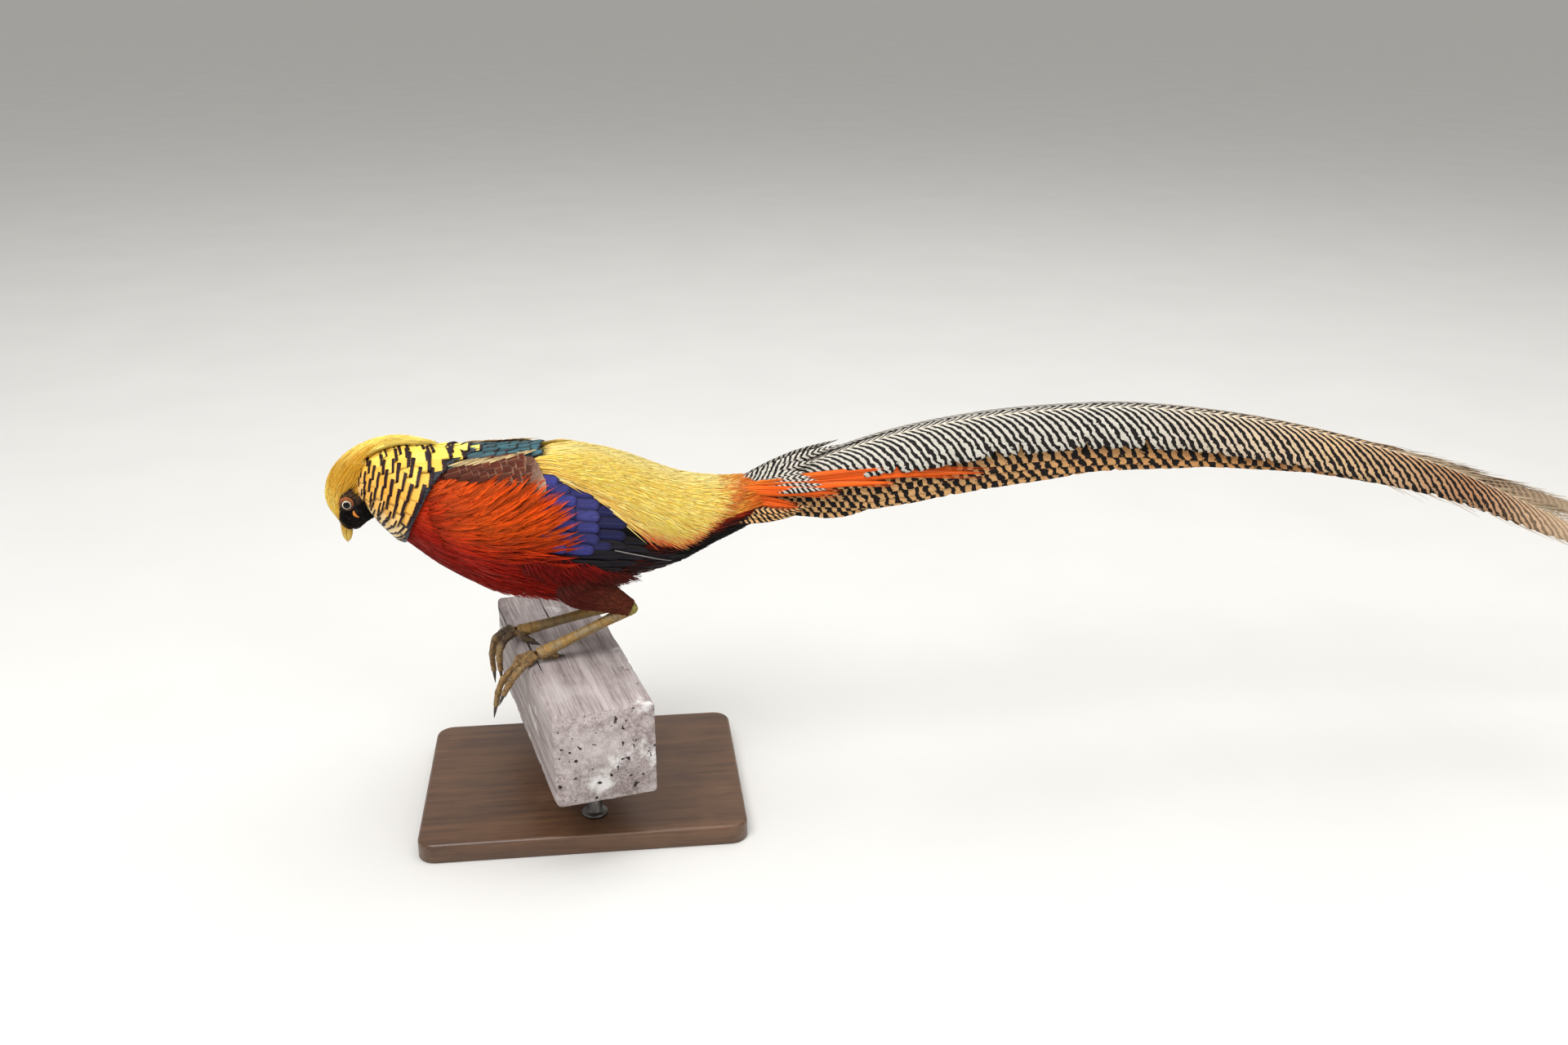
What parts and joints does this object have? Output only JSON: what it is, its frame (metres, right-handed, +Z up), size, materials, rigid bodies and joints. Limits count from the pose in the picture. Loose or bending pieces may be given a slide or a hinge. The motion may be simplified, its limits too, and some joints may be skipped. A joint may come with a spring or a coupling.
{
  "type": "golden pheasant display model",
  "caption": "Life-size male golden pheasant with a long arched tail, leaning forward over a cut length of timber rail held by two rods on a flat base.",
  "frame": {"origin": "centre of the underside of the stand's base", "axes": "-X is the way the bird faces, +X runs along the tail, -Y is the bird's left side, +Z is up"},
  "size_m": [1.0449, 0.241, 0.3135],
  "materials": {
    "plumage_crest": "silky golden yellow feather locks",
    "bill_horn": "smooth ochre-yellow horn",
    "eye_glass": "polished glass eye, pale cream iris",
    "plumage_cape": "orange feathers with blue-black bars",
    "plumage_body": "crimson and orange-red plumes",
    "plumage_rump": "lemon-yellow hair-like feathers",
    "plumage_wing": "satin blue and brown-black feathers",
    "plumage_tail": "buff feathers with dark wavy bars",
    "plumage_thigh": "dull chestnut feathers",
    "leg_scales": "ochre scaled skin",
    "claw_horn": "dark horn",
    "rail_timber": "weathered grey timber",
    "stand_steel": "brushed steel",
    "stand_timber": "dark satin hardwood"
  },
  "bodies": {
    "root": {"head": "plumage_crest", "bill_upper": "bill_horn", "bill_lower": "bill_horn", "eye_left": "eye_glass", "eye_right": "eye_glass", "neck": "plumage_cape", "torso": "plumage_body", "rump": "plumage_rump", "wing_left": "plumage_wing", "wing_right": "plumage_wing", "tail": "plumage_tail", "thigh_left": "plumage_thigh", "thigh_right": "plumage_thigh", "shank_left": "leg_scales", "shank_right": "leg_scales", "foot_left": "leg_scales", "foot_right": "leg_scales", "claw_left_1": "claw_horn", "claw_left_2": "claw_horn", "claw_left_3": "claw_horn", "claw_left_4": "claw_horn", "claw_right_1": "claw_horn", "claw_right_2": "claw_horn", "claw_right_3": "claw_horn", "claw_right_4": "claw_horn", "perch": "rail_timber", "stand_rod_near": "stand_steel", "stand_rod_far": "stand_steel", "stand_base": "stand_timber"}
  },
  "joints": []
}
